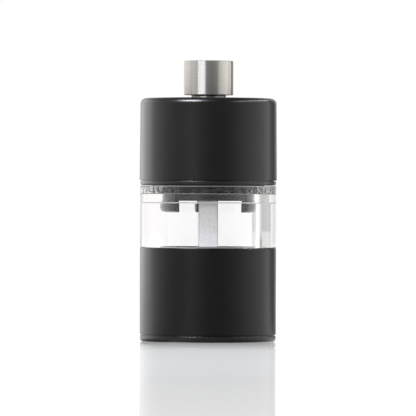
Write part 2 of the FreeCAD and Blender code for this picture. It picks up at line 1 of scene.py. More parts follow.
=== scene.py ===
# %% [markdown]
# # A twist-head pepper mill
#
# The mill comes in as a frame of measured parts: a black base, a clear pepper container, a
# black head and a steel knob that sets the grind. Here it gets its finishes, a few finer
# pieces, light and a camera. The frame is loaded first, because every size below is read from
# it or set beside it.

import json
import math

import bmesh
import bpy
import numpy as np
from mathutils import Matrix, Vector


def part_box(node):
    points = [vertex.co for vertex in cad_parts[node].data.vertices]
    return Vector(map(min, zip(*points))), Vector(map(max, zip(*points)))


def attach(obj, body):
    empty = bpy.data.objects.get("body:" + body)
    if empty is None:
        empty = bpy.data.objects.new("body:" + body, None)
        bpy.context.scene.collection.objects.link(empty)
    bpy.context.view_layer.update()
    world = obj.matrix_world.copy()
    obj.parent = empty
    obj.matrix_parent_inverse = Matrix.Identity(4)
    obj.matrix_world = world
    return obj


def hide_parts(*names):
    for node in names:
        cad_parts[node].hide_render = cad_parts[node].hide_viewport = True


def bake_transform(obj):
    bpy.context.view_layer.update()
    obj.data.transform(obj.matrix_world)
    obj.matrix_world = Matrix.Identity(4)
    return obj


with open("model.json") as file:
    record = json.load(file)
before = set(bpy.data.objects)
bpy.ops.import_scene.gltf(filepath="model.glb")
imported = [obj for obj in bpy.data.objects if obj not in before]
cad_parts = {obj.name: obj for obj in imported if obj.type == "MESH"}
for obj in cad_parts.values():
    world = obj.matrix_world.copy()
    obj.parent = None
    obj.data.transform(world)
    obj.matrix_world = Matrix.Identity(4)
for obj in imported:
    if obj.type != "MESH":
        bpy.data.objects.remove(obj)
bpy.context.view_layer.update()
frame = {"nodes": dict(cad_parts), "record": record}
MM = 0.001

# %% [markdown]
# ## Camera
#
# The picture is taken from far away with a long lens, level with the middle of the mill, so its
# sides stay parallel. An orthographic camera could fake that, but then the other views would
# lose their depth. The mill leans by a fifth of a degree in the picture. That is a camera held
# slightly askew, so the camera is rolled and the mill stays upright.

# %% Place the camera
PICTURE_PIXELS = 416
MM_PER_PIXEL = 0.3925
CAMERA_DISTANCE = 2.2
CAMERA_HEIGHT = 52.3 * MM
CAMERA_SIDE = -0.07 * MM
CAMERA_ROLL = math.radians(-0.22)
SENSOR_WIDTH = 36.0

view_width = PICTURE_PIXELS * MM_PER_PIXEL * MM
camera_data = bpy.data.cameras.new("camera")
camera_data.sensor_width = SENSOR_WIDTH
camera_data.lens = SENSOR_WIDTH * CAMERA_DISTANCE / view_width
camera_data.clip_end = 100.0
camera = bpy.data.objects.new("camera", camera_data)
camera.location = (CAMERA_SIDE, -CAMERA_DISTANCE, CAMERA_HEIGHT)
camera.rotation_euler = (math.pi / 2, CAMERA_ROLL, 0.0)
bpy.context.scene.collection.objects.link(camera)
bpy.context.scene.camera = camera
bpy.context.scene.view_settings.view_transform = "Standard"
print("lens:", round(camera_data.lens), "mm")

# %% [markdown]
# ## Grids and turned pieces
#
# Most of this mill comes off a lathe. The Spin and Screw tools can turn an outline too. A grid
# of points worked out with numpy gives the same form and also tells every point how far along
# the outline it lies, which the brush lines need. A corner is a rounding in the outline,
# because no made edge is truly sharp and the thin bright lines along edges come from those
# roundings.

# %% An outline with rounded corners
ARC_STEPS = 10


def rounded_outline(corners):
    """Points r + iz of an outline in metres, from corners (radius, height, rounding) in mm.

    A rounding r starts r * tan(turn / 2) before its corner. From there the point is turned about
    the arc's centre, in equal steps, through the angle between the two straight runs.
    """
    places = [complex(corner[0], corner[1]) for corner in corners]
    stretches = []
    for number, corner in enumerate(corners):
        place = places[number]
        if len(corner) == 2:
            stretches.append([place])
            continue
        rounding = corner[2]
        arriving = place - places[number - 1]
        leaving = places[(number + 1) % len(places)] - place
        turn = np.angle(leaving / arriving)
        way = arriving / abs(arriving)
        start = place - way * rounding * math.tan(abs(turn) / 2)
        centre = start + way * 1j * rounding * np.sign(turn)
        steps = np.linspace(0, 1, ARC_STEPS + 1)
        stretches.append(centre + (start - centre) * np.exp(1j * turn * steps))
    return np.concatenate(stretches) * MM


# %% A piece from a grid of points
MERGE_DISTANCE = 0.001 * MM
SHARP_ANGLE = math.radians(30)


def grid_of(*coordinates):
    """A grid of points from arrays of coordinates, each repeated along the sides that it lacks."""
    return np.stack(np.broadcast_arrays(*coordinates), axis=-1)


def grid_piece(name, points, turns, lengths):
    """A closed mesh from a grid of points: every four neighbours make a face, doubled points merge.

    The UV map holds each point's share of a turn and its length along the outline in metres.
    """
    rows, columns = points.shape[:2]
    index = np.arange(rows * columns).reshape(rows, columns)
    corners = [index[:-1, :-1], index[:-1, 1:], index[1:, 1:], index[1:, :-1]]
    faces = np.stack(corners, axis=-1).reshape(-1, 4)
    mesh = bpy.data.meshes.new(name)
    mesh.from_pydata(points.reshape(-1, 3).tolist(), [], faces.tolist())
    places = grid_of(turns, lengths).reshape(-1, 2)
    mesh.uv_layers.new(name="outline").uv.foreach_set("vector", places[faces].astype("f").ravel())
    work = bmesh.new()
    work.from_mesh(mesh)
    bmesh.ops.remove_doubles(work, verts=work.verts, dist=MERGE_DISTANCE)
    bmesh.ops.recalc_face_normals(work, faces=work.faces)
    print(name, "faces:", len(work.faces), "volume:", round(work.calc_volume() / MM ** 3), "mm3")
    work.to_mesh(mesh)
    work.free()
    mesh.shade_smooth()
    mesh.set_sharp_from_angle(angle=SHARP_ANGLE)
    piece = bpy.data.objects.new(name, mesh)
    piece.modifiers.new("even_shading", "WEIGHTED_NORMAL").keep_sharp = True
    bpy.context.scene.collection.objects.link(piece)
    return piece


# %% A piece turned from an outline
TURN_STEPS = 256


def carried_round(name, path, sections, angle):
    """Carry an outline round the axis: its point r + iz at angle a lies at (r sin a, -r cos a, z).

    Each column of the sections is the outline at one angle. The length along the outline is the sum
    of the distances from point to point of its path.
    """
    radius = sections.real
    points = grid_of(radius * np.sin(angle), -radius * np.cos(angle), sections.imag)
    lengths = np.append(0, np.cumsum(abs(np.diff(path))))[:, None]
    return grid_piece(name, points, angle / (2 * math.pi), lengths)


def turned_piece(name, outline, ring=True):
    """Carry an outline once round. A ring's outline is closed, any other ends on the axis."""
    path = np.append(outline, outline[0]) if ring else outline
    angle = np.linspace(0, 2 * math.pi, TURN_STEPS + 1)[None, :]
    return carried_round(name, path, path[:, None], angle)


# %% [markdown]
# ## Pepper container
#
# The container is a thick ring of clear acrylic, turned from tube. A spigot below sits in the
# base, a step above takes the head's plug, and the chamber in the middle holds the peppercorns.
# In glass and acrylic each edge bends light, so it is made again here with true round walls and
# small roundings.

# %% Clear container
low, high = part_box("pepper_container")
container_radius = high.x / MM
container_bottom = low.z / MM
container_top = high.z / MM
sleeve_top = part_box("base_sleeve")[1].z / MM
SPIGOT_RADIUS = 25.0
CHAMBER_RADIUS = 19.0
THROAT_RADIUS = 18.5
UPPER_BEVEL = 0.2
LOWER_BEVEL = 0.4
STEP_RADIUS = 22.2
STEP_DEPTH = 3.05
THROAT_LENGTH = 3.8
TOP_ROUNDING = 0.5
EDGE_ROUNDING = 0.2
BORE_ROUNDING = 0.15
STEP_ROUNDING = 0.1
BEVEL_ROUNDING = 0.05
step_floor = container_top - STEP_DEPTH
throat_bottom = step_floor - THROAT_LENGTH

clear_container = turned_piece("clear_container", rounded_outline([
    (CHAMBER_RADIUS, container_bottom, BORE_ROUNDING),
    (SPIGOT_RADIUS, container_bottom, EDGE_ROUNDING),
    (SPIGOT_RADIUS, sleeve_top),
    (container_radius, sleeve_top, EDGE_ROUNDING),
    (container_radius, container_top, TOP_ROUNDING),
    (STEP_RADIUS, container_top, EDGE_ROUNDING),
    (STEP_RADIUS, step_floor, STEP_ROUNDING),
    (THROAT_RADIUS + UPPER_BEVEL, step_floor, BEVEL_ROUNDING),
    (THROAT_RADIUS, step_floor - UPPER_BEVEL, BEVEL_ROUNDING),
    (THROAT_RADIUS, throat_bottom + LOWER_BEVEL, BEVEL_ROUNDING),
    (CHAMBER_RADIUS, throat_bottom, BEVEL_ROUNDING)]))
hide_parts("pepper_container")
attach(clear_container, "mill_body")

# %% [markdown]
# ## Knob and collar
#
# The knob is a steel cap turned from bar and brushed while it spins, and the collar under it is
# the bright step that it stands on. The measured parts have the right form. They are made again
# as grids because the brush lines run round the wall and on over the top, and the grid carries
# that path.

# %% Steel knob
low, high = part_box("adjuster_knob")
knob_radius = high.x / MM
knob_bottom = low.z / MM
knob_top = high.z / MM
KNOB_BORE = 4.45
KNOB_ROOF = 3.0
KNOB_TOP_EDGE = 0.22
KNOB_BOTTOM_EDGE = 0.25

steel_knob = turned_piece("steel_knob", rounded_outline([
    (0.0, knob_top - KNOB_ROOF), (KNOB_BORE, knob_top - KNOB_ROOF), (KNOB_BORE, knob_bottom),
    (knob_radius, knob_bottom, KNOB_BOTTOM_EDGE), (knob_radius, knob_top, KNOB_TOP_EDGE),
    (0.0, knob_top)]), ring=False)
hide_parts("adjuster_knob")
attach(steel_knob, "knob")

# %% Steel collar
low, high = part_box("top_collar")
collar_radius = high.x / MM
collar_bottom = low.z / MM
collar_top = high.z / MM
COLLAR_NECK = 4.9
COLLAR_BORE = 2.75
COLLAR_EDGE = 0.12
head_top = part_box("head_shell")[1].z / MM

steel_collar = turned_piece("steel_collar", rounded_outline([
    (COLLAR_BORE, collar_bottom), (COLLAR_NECK, collar_bottom, EDGE_ROUNDING),
    (COLLAR_NECK, head_top), (collar_radius, head_top), (collar_radius, collar_top, COLLAR_EDGE),
    (COLLAR_BORE, collar_top)]))
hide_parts("top_collar")
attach(steel_collar, "head")

# %% [markdown]
# ## Snap hooks
#
# Three springy tabs under the head's plug end in hooks that snap under the container's throat,
# so the head stays on while it turns. A hook is widest just below the throat and slants in
# towards its lower end, which lets it slip in when the head is pushed on. The measured tabs
# have no hooks, so these are fitted over them. A short piece of a turned form is enough: the
# section is carried round the axis from one angle to another, counted from the front, and both
# ends are closed.

# %% Snap hooks
HOOK_STEPS = 24
HOOK_INSIDE = 16.3
HOOK_REACH = 18.9
HOOK_FOOT_REACH = 18.4
HOOK_GAP = 0.15
HOOK_SLANT = 1.6
HOOK_LEAD_IN = 0.45
HOOK_TOP_ROUNDING = 0.1
HOOK_ANGLES = {"left": (-94.3, -39.2), "right": (46.6, 101.7), "back": (171.6, 198.0)}


def snap_hook(name, start, end):
    """Carry the hook's section round the axis from one angle in degrees to another.

    The first and the last section shrink to their middle, which closes the ends.
    """
    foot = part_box("head_insert")[0].z / MM
    top = throat_bottom - HOOK_GAP
    outline = rounded_outline([
        (HOOK_INSIDE, foot), (HOOK_FOOT_REACH, foot + HOOK_LEAD_IN, EDGE_ROUNDING),
        (HOOK_REACH, foot + HOOK_SLANT, EDGE_ROUNDING), (HOOK_REACH, top, HOOK_TOP_ROUNDING),
        (HOOK_INSIDE, top)])
    path = np.append(outline, outline[0])
    angle = np.radians(np.linspace(start, end, HOOK_STEPS))
    angle = np.pad(angle, 1, mode="edge")[None, :]
    sections = np.repeat(path[:, None], angle.size, axis=1)
    sections[:, [0, -1]] = outline.mean()
    return carried_round(name, path, sections, angle)


snap_hooks = [snap_hook("snap_hook_" + side, *angles) for side, angles in HOOK_ANGLES.items()]
for hook in snap_hooks:
    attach(hook, "head")

# %% [markdown]
# ## Rotor spring
#
# A spring of round wire presses the rotor down from its bearing. Both ends are ground flat, so the
# wire's circle is carried along a helix and then cut level above and below. A curve with a round
# bevel would also do, but it could not be ground. The spring shortens when the knob lifts the
# rotor.

# %% Coiled wire
WIRE_RADIUS = 0.45
COIL_RADIUS = 6.08
COIL_TURNS = 3.25
COIL_STEPS = 240
WIRE_STEPS = 20


def coiled_wire():
    """The wire's circle, turned to stand across the helix, at each step of the climb.

    The centre is (R cos a, R sin a, z) with z rising evenly. The circle adds cos b outwards and
    sin b along the helix's upright, and heights past the ground ends are held at the ends.
    """
    low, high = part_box("rotor_spring")
    climb = np.clip(np.linspace(-1, COIL_STEPS, COIL_STEPS + 2) / (COIL_STEPS - 1), 0, 1)[:, None]
    thickness = np.full_like(climb, WIRE_RADIUS * MM)
    thickness[[0, -1]] = 0.0
    angle = climb * COIL_TURNS * 2 * math.pi
    around = np.linspace(0, 2 * math.pi, WIRE_STEPS + 1)[None, :]
    slope = math.atan2((high.z - low.z) / (COIL_TURNS * 2 * math.pi), COIL_RADIUS * MM)
    outwards = COIL_RADIUS * MM + thickness * np.cos(around)
    aside = thickness * np.sin(around) * math.sin(slope)
    upright = thickness * np.sin(around) * math.cos(slope)
    height = np.clip(low.z + (high.z - low.z) * climb + upright, low.z, high.z)
    points = grid_of(
        outwards * np.cos(angle) + aside * np.sin(angle),
        outwards * np.sin(angle) - aside * np.cos(angle), height)
    return grid_piece("rotor_coil", points, around / (2 * math.pi), angle * COIL_RADIUS * MM)


rotor_coil = coiled_wire()
low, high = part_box("rotor_spring")
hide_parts("rotor_spring")
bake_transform(rotor_coil)

# %% [markdown]
# ## Thread on the shaft's stud
#
# The stud on top of the shaft is a metric thread that the knob's nut runs on. It shows when the
# head is lifted off to refill. A thread is a ridge carried along a helix, fading out at both
# ends where the cutting tool ran in and out. The Screw modifier could wind it too, but couldn't
# fade it. The ridge's foot is sunk a little into the plain stud.

# %% Thread ridge
THREAD_PITCH = 0.8
THREAD_CREST = 2.5
THREAD_ROOT = 2.1
THREAD_LENGTH = 13.0
TIP_CLEARANCE = 0.9
RIDGE_STEPS = 48
RIDGE_SHAPE = np.array([
    (0.0, -0.44), (0.92, -0.08), (1.0, 0.0), (0.92, 0.08), (0.0, 0.44), (0.0, -0.44)])


def thread_ridge():
    """The ridge's section carried along a helix: radius root + height, z rising a pitch per turn.

    The ridge grows from nothing to its full height over the first turn and fades over the last.
    """
    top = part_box("drive_shaft")[1].z / MM - TIP_CLEARANCE
    turns = THREAD_LENGTH / THREAD_PITCH
    done = np.linspace(0, turns, int(turns * RIDGE_STEPS))[:, None]
    full = np.clip(np.minimum(done, turns - done), 0, 1)
    radius = THREAD_ROOT + (THREAD_CREST - THREAD_ROOT) * full * RIDGE_SHAPE[None, :, 0]
    height = top - THREAD_LENGTH + THREAD_PITCH * (done + full * RIDGE_SHAPE[None, :, 1])
    angle = done * 2 * math.pi
    points = grid_of(radius * np.cos(angle), radius * np.sin(angle), height) * MM
    return grid_piece("stud_thread", points, done, RIDGE_SHAPE[None, :, 1] * THREAD_PITCH * MM)


stud_thread = thread_ridge()
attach(stud_thread, "spindle")

# %% [markdown]
# ## Small helpers for the finishes
#
# Colours are written as sRGB hex values, the way a paint chart gives them, and turned to the
# linear values that Blender works with. One function adds a shader node: it sets the node's own
# options, and each input is either a value or another node's output. Marks are given by their
# size in millimetres, and a texture wants to know how often they repeat in a metre.

# %% Colour and node helpers
def linear(hex_colour):
    """sRGB hex to linear RGBA: v / 12.92 below 0.04045, else ((v + 0.055) / 1.055) ** 2.4."""
    srgb = np.array([int(hex_colour[i:i + 2], 16) for i in (1, 3, 5)]) / 255.0
    curve = np.where(srgb <= 0.04045, srgb / 12.92, ((srgb + 0.055) / 1.055) ** 2.4)
    return (*curve.tolist(), 1.0)


def add_node(tree, kind, inputs=None, **options):
    """Add one node with its options. An input is a value, or an output to link from."""
    node = tree.nodes.new(kind)
    for name, value in options.items():
        setattr(node, name, value)
    for name, value in (inputs or {}).items():
        if isinstance(value, bpy.types.NodeSocket):
            tree.links.new(value, node.inputs[name])
        else:
            node.inputs[name].default_value = value
    return node


def empty_material(name):
    """A material with no nodes yet, and its node tree."""
    material = bpy.data.materials.new(name)
    material.use_nodes = True
    material.node_tree.nodes.clear()
    print("finish:", name)
    return material, material.node_tree


def per_metre(size_mm):
    """How many marks of a size in millimetres fit in a metre, which is a texture's scale."""
    return 1 / (size_mm * MM)


# %% [markdown]
# ## Satin black lacquer
#
# The head and the base are ABS mouldings sprayed with black satin lacquer. It gives the eye a deep
# black with wide soft reflections that grow bright towards the edges, and up close a slight orange
# peel where the spray levelled out. Displacement could model the peel, but bump is enough for waves
# so shallow. They are really about 0.3 mm wide and are drawn at 0.6 mm so that they show. The base
# gets a shaded copy of the lacquer, with a lower IOR so that it reflects less and reads a little
# darker than the head: painted shade. The head's flat top, which lay upwards under the spray, has
# dried duller than its wall.

# %% Satin black lacquer
LACQUER_PEEL_MM = 0.6
LACQUER_CLOUD_MM = 9.0
HEAD_IOR = 1.54
# The base's lower IOR is painted shade: it makes the base reflect less and read darker.
SHADED_BASE_IOR = 1.47
DULL_TOP = 0.17
DULL_TOP_MM = 0.3


def satin_black_lacquer(name, ior):
    """Black dielectric, rough in soft clouds and on the head's top, with a faint peel as bump."""
    material, tree = empty_material(name)
    place = add_node(tree, "ShaderNodeTexCoord").outputs["Object"]
    cloud = add_node(tree, "ShaderNodeTexNoise", {
        "Vector": place, "Scale": per_metre(LACQUER_CLOUD_MM)})
    peel = add_node(tree, "ShaderNodeTexNoise", {
        "Vector": place, "Scale": per_metre(LACQUER_PEEL_MM)})
    shade = add_node(tree, "ShaderNodeMix", {
        "Factor": cloud.outputs["Fac"], "A": linear("#0b0b0c"), "B": linear("#0f0f10")},
        data_type="RGBA")
    gloss = add_node(tree, "ShaderNodeMapRange", {
        "Value": cloud.outputs["Fac"], "To Min": 0.24, "To Max": 0.3})
    height = add_node(tree, "ShaderNodeSeparateXYZ", {"Vector": place}).outputs["Z"]
    dulling = add_node(tree, "ShaderNodeMapRange", {
        "Value": height, "From Min": (head_top - DULL_TOP_MM) * MM, "From Max": head_top * MM,
        "To Max": DULL_TOP})
    roughness = add_node(tree, "ShaderNodeMath", {
        0: gloss.outputs["Result"], 1: dulling.outputs["Result"]}, operation="ADD")
    bump = add_node(tree, "ShaderNodeBump", {
        "Height": peel.outputs["Fac"], "Strength": 0.05, "Distance": 0.02 * MM})
    surface = add_node(tree, "ShaderNodeBsdfPrincipled", {
        "Base Color": shade.outputs["Result"], "Roughness": roughness.outputs[0],
        "Normal": bump.outputs["Normal"], "IOR": ior})
    add_node(tree, "ShaderNodeOutputMaterial", {"Surface": surface.outputs["BSDF"]})
    return material


# %% [markdown]
# ## Moulded black plastic
#
# The foot, the head's plug and the grinder's housing are plain black mouldings of ABS or nylon.
# The mould's spark-eroded texture leaves a fine grain, so they look a touch greyer and softer than
# the lacquer. A picture of the grain would need unwrapping, so the cells of a Voronoi texture give
# it. It is about 0.15 mm on the real thing and is drawn at 0.35 mm. The plug and its hooks get a
# lit copy of the plastic with a higher IOR, so they mirror more at their sides: a painted sheen
# that brightens the tabs.

# %% Moulded black plastic
PLASTIC_GRAIN_MM = 0.35
PLASTIC_FLOW_MM = 14.0
PLASTIC_IOR = 1.53
# The plug's higher IOR is a painted sheen that brightens its tabs at their sides.
LIT_PLUG_IOR = 1.62


def moulded_black_plastic(name, ior):
    """Black dielectric with a fine grain in bump and gloss and slow streaks of the melt's flow."""
    material, tree = empty_material(name)
    place = add_node(tree, "ShaderNodeTexCoord").outputs["Object"]
    grain = add_node(tree, "ShaderNodeTexVoronoi", {
        "Vector": place, "Scale": per_metre(PLASTIC_GRAIN_MM)})
    flow = add_node(tree, "ShaderNodeTexNoise", {
        "Vector": place, "Scale": per_metre(PLASTIC_FLOW_MM), "Detail": 4.0})
    shade = add_node(tree, "ShaderNodeMix", {
        "Factor": flow.outputs["Fac"], "A": linear("#121213"), "B": linear("#19191a")},
        data_type="RGBA")
    gloss = add_node(tree, "ShaderNodeMapRange", {
        "Value": grain.outputs["Distance"], "To Min": 0.22, "To Max": 0.32})
    bump = add_node(tree, "ShaderNodeBump", {
        "Height": grain.outputs["Distance"], "Strength": 0.12, "Distance": 0.02 * MM})
    surface = add_node(tree, "ShaderNodeBsdfPrincipled", {
        "Base Color": shade.outputs["Result"], "Roughness": gloss.outputs["Result"],
        "Normal": bump.outputs["Normal"], "IOR": ior})
    add_node(tree, "ShaderNodeOutputMaterial", {"Surface": surface.outputs["BSDF"]})
    return material


# %% [markdown]
# ## Clear acrylic
#
# The container is cast acrylic, polished on the outside and in the chamber. It is clearer than
# glass and bends light a little less. A Glass node would do too, but the Principled shader's
# transmission bends light in the same way and has its settings beside those of the other finishes.
# Handling leaves a faint unevenness in the polish, about 4 mm wide. The step at the top is left as
# the lathe cut it, rippled, so it breaks up what is seen through it, and grey is painted into the
# ripples' troughs as painted shade for the dark plug seen through it. The ripples are drawn at 2.4
# mm, some four times their width. The bevels and the top edge are only sanded. Acrylic pipes light
# along its walls, and where it is sanded some of it leaks out; here that is painted light, an
# emission, so they glow as fine pale lines.

# %% Clear acrylic
ACRYLIC_IOR = 1.49
ACRYLIC_PASSES = "#f2f2f2"
POLISH_MM = 4.0
RIPPLE_MM = 2.4
SANDING_MM = 0.3


def acrylic_output(tree, surface):
    """Give the tree its output. Lamp light passes straight through, so that it reaches inside."""
    straight = add_node(tree, "ShaderNodeBsdfTransparent", {"Color": linear(ACRYLIC_PASSES)})
    is_shadow = add_node(tree, "ShaderNodeLightPath").outputs["Is Shadow Ray"]
    whole = add_node(tree, "ShaderNodeMixShader", {
        0: is_shadow, 1: surface, 2: straight.outputs[0]})
    add_node(tree, "ShaderNodeOutputMaterial", {"Surface": whole.outputs[0]})


def polished_acrylic():
    """Clear dielectric that lets all light through, with a trace of haze in soft patches."""
    material, tree = empty_material("polished_acrylic")
    place = add_node(tree, "ShaderNodeTexCoord").outputs["Object"]
    patches = add_node(tree, "ShaderNodeTexNoise", {"Vector": place, "Scale": per_metre(POLISH_MM)})
    haze = add_node(tree, "ShaderNodeMapRange", {
        "Value": patches.outputs["Fac"], "From Min": 0.4, "From Max": 0.8,
        "To Min": 0.01, "To Max": 0.03})
    surface = add_node(tree, "ShaderNodeBsdfPrincipled", {
        "Base Color": linear("#ffffff"), "Roughness": haze.outputs["Result"], "IOR": ACRYLIC_IOR,
        "Transmission Weight": 1.0})
    acrylic_output(tree, surface.outputs["BSDF"])
    return material


def turned_acrylic():
    """The same acrylic as the lathe left it: rippled by the tool, with painted grey shade in the
    troughs.
    """
    material, tree = empty_material("turned_acrylic")
    place = add_node(tree, "ShaderNodeTexCoord").outputs["Object"]
    ripple = add_node(tree, "ShaderNodeTexNoise", {
        "Vector": place, "Scale": per_metre(RIPPLE_MM), "Detail": 2.0})
    haze = add_node(tree, "ShaderNodeMapRange", {
        "Value": ripple.outputs["Fac"], "To Min": 0.03, "To Max": 0.09})
    bump = add_node(tree, "ShaderNodeBump", {
        "Height": ripple.outputs["Fac"], "Strength": 1.0, "Distance": 0.8 * MM})
    # Painted shade: grey in the ripples' troughs stands in for the dark plug seen through the step.
    painted_shade_share = add_node(tree, "ShaderNodeMapRange", {
        "Value": ripple.outputs["Fac"], "From Min": 0.38, "From Max": 0.62})
    shade = add_node(tree, "ShaderNodeMix", {
        "Factor": painted_shade_share.outputs["Result"], "A": linear("#72706d"), "B": linear("#fafbfb")},
        data_type="RGBA")
    surface = add_node(tree, "ShaderNodeBsdfPrincipled", {
        "Base Color": shade.outputs["Result"], "Roughness": haze.outputs["Result"],
        "Normal": bump.outputs["Normal"], "IOR": ACRYLIC_IOR, "Transmission Weight": 1.0})
    acrylic_output(tree, surface.outputs["BSDF"])
    return material


def sanded_acrylic(name, painted_glow_share):
    """The same acrylic sanded matt: a rough clear dielectric, mixed with a share of painted glow,
    an emission.
    """
    material, tree = empty_material(name)
    place = add_node(tree, "ShaderNodeTexCoord").outputs["Object"]
    grain = add_node(tree, "ShaderNodeTexNoise", {
        "Vector": place, "Scale": per_metre(SANDING_MM), "Detail": 2.0})
    haze = add_node(tree, "ShaderNodeMapRange", {
        "Value": grain.outputs["Fac"], "To Min": 0.3, "To Max": 0.6})
    clear = add_node(tree, "ShaderNodeBsdfPrincipled", {
        "Base Color": linear("#f4f6f7"), "Roughness": haze.outputs["Result"], "IOR": ACRYLIC_IOR,
        "Transmission Weight": 1.0})
    shade = add_node(tree, "ShaderNodeMix", {
        "Factor": grain.outputs["Fac"], "A": linear("#d4d6d7"), "B": linear("#eef0f1")},
        data_type="RGBA")
    # The glow is painted light: an emission on the acrylic, which is no lamp.
    glow = add_node(tree, "ShaderNodeEmission", {"Color": shade.outputs["Result"]})
    surface = add_node(tree, "ShaderNodeMixShader", {
        0: painted_glow_share, 1: clear.outputs["BSDF"], 2: glow.outputs[0]})
    acrylic_output(tree, surface.outputs[0])
    return material


# %% [markdown]
# ## Brushed stainless steel
#
# The knob and the collar are stainless steel, brushed with abrasive fleece while they turn.
# Each fine scratch runs round the axis, so a reflection is drawn out across the scratches into
# upright stripes. The shader's anisotropy gives those stripes, and noise squeezed along the
# outline gives the scratches themselves. They are about 0.03 mm wide and are drawn ten times as
# wide so that they show. Between them the fleece leaves a dull skin, so a fifth of the light is
# scattered instead of mirrored.

# %% Brushed stainless
SCRATCH_MM = 0.3
SCRATCH_RUN_MM = 5.0
QUARTER_TURN = 0.25


def along_outline(tree, across_mm, run_mm):
    """Coordinates for marks round the axis: x and y by run, the outline's length by their width."""
    place = add_node(tree, "ShaderNodeTexCoord").outputs
    flat = add_node(tree, "ShaderNodeSeparateXYZ", {"Vector": place["Object"]}).outputs
    outline = add_node(tree, "ShaderNodeSeparateXYZ", {"Vector": place["UV"]}).outputs
    marks = add_node(tree, "ShaderNodeCombineXYZ", {
        "X": flat["X"], "Y": flat["Y"], "Z": outline["Y"]})
    scale = (per_metre(run_mm), per_metre(run_mm), per_metre(across_mm))
    return add_node(tree, "ShaderNodeMapping", {
        "Vector": marks.outputs[0], "Scale": scale}).outputs[0]


def brushed_stainless():
    """Steel with anisotropic gloss across the scratches, which vary colour, gloss and height."""
    material, tree = empty_material("brushed_stainless")
    scratch = add_node(tree, "ShaderNodeTexNoise", {
        "Vector": along_outline(tree, SCRATCH_MM, SCRATCH_RUN_MM), "Scale": 1.0, "Detail": 4.0})
    shade = add_node(tree, "ShaderNodeMix", {
        "Factor": scratch.outputs["Fac"], "A": linear("#b5b2ac"), "B": linear("#d8d5cf")},
        data_type="RGBA")
    gloss = add_node(tree, "ShaderNodeMapRange", {
        "Value": scratch.outputs["Fac"], "To Min": 0.26, "To Max": 0.34})
    bump = add_node(tree, "ShaderNodeBump", {
        "Height": scratch.outputs["Fac"], "Strength": 0.1, "Distance": 0.01 * MM})
    around = add_node(tree, "ShaderNodeTangent", direction_type="RADIAL", axis="Z")
    surface = add_node(tree, "ShaderNodeBsdfPrincipled", {
        "Base Color": shade.outputs["Result"], "Metallic": 0.8,
        "Roughness": gloss.outputs["Result"], "Normal": bump.outputs["Normal"],
        "Anisotropic": 1.0, "Anisotropic Rotation": QUARTER_TURN,
        "Tangent": around.outputs["Tangent"]})
    add_node(tree, "ShaderNodeOutputMaterial", {"Surface": surface.outputs["BSDF"]})
    return material


# %% [markdown]
# ## Drawn aluminium
#
# The shaft is square aluminium bar, drawn through a die and left matt. Drawing leaves fine
# lines along the bar and a slightly grainy skin, so it looks pale and soft beside the bright
# steel. The lines are about 0.05 mm apart and are drawn at 0.2 mm, and the grain of 0.3 mm is
# drawn at 0.9 mm. The bar has no UV map, so both are noise in the bar's own space, one of them
# stretched along it.

# %% Drawn aluminium
DRAW_LINE_MM = 0.2
DRAW_RUN_MM = 12.0
SKIN_GRAIN_MM = 0.9


def drawn_aluminium():
    """Pale metal with long lines up the bar and a fine grain in gloss and bump."""
    material, tree = empty_material("drawn_aluminium")
    place = add_node(tree, "ShaderNodeTexCoord").outputs["Object"]
    scale = (per_metre(DRAW_LINE_MM), per_metre(DRAW_LINE_MM), per_metre(DRAW_RUN_MM))
    squeezed = add_node(tree, "ShaderNodeMapping", {"Vector": place, "Scale": scale})
    lines = add_node(tree, "ShaderNodeTexNoise", {
        "Vector": squeezed.outputs[0], "Scale": 1.0, "Detail": 3.0})
    grain = add_node(tree, "ShaderNodeTexNoise", {
        "Vector": place, "Scale": per_metre(SKIN_GRAIN_MM), "Detail": 4.0})
    shade = add_node(tree, "ShaderNodeMix", {
        "Factor": grain.outputs["Fac"], "A": linear("#d3d3d5"), "B": linear("#fcfcfe")},
        data_type="RGBA")
    gloss = add_node(tree, "ShaderNodeMapRange", {
        "Value": grain.outputs["Fac"], "To Min": 0.66, "To Max": 0.82})
    bump = add_node(tree, "ShaderNodeBump", {
        "Height": lines.outputs["Fac"], "Strength": 0.1, "Distance": 0.02 * MM})
    surface = add_node(tree, "ShaderNodeBsdfPrincipled", {
        "Base Color": shade.outputs["Result"], "Metallic": 1.0,
        "Roughness": gloss.outputs["Result"], "Normal": bump.outputs["Normal"]})
    add_node(tree, "ShaderNodeOutputMaterial", {"Surface": surface.outputs["BSDF"]})
    return material


# %% [markdown]
# ## Bright steel
#
# The driver plate, screws, washer and spring are plain steel, zinc plated. The plating is
# bright with a cool cast and a faint cloudiness from the bath, about 2 mm wide. Separate
# textures could vary its colour and its gloss, but one noise for both is enough on pieces so
# small.

# %% Bright steel
PLATING_CLOUD_MM = 2.0


def bright_steel():
    """Cool bright metal whose colour and gloss vary in small clouds."""
    material, tree = empty_material("bright_steel")
    place = add_node(tree, "ShaderNodeTexCoord").outputs["Object"]
    cloud = add_node(tree, "ShaderNodeTexNoise", {
        "Vector": place, "Scale": per_metre(PLATING_CLOUD_MM), "Detail": 4.0})
    shade = add_node(tree, "ShaderNodeMix", {
        "Factor": cloud.outputs["Fac"], "A": linear("#bfc2c6"), "B": linear("#d5d7da")},
        data_type="RGBA")
    gloss = add_node(tree, "ShaderNodeMapRange", {
        "Value": cloud.outputs["Fac"], "To Min": 0.16, "To Max": 0.3})
    surface = add_node(tree, "ShaderNodeBsdfPrincipled", {
        "Base Color": shade.outputs["Result"], "Metallic": 1.0,
        "Roughness": gloss.outputs["Result"]})
    add_node(tree, "ShaderNodeOutputMaterial", {"Surface": surface.outputs["BSDF"]})
    return material


# %% [markdown]
# ## Grinder ceramic
#
# The rotor and the stator are pressed from aluminium oxide powder and sintered hard. Unglazed,
# it is a warm white with a dry sheen, a fine sandy grain and a few darker specks. The teeth
# would be hard to unwrap for a picture, so the grain is noise and the specks are the hearts of
# Voronoi cells.

# %% Grinder ceramic
CERAMIC_GRAIN_MM = 0.25
CERAMIC_SPECK_MM = 1.6
CERAMIC_IOR = 1.7


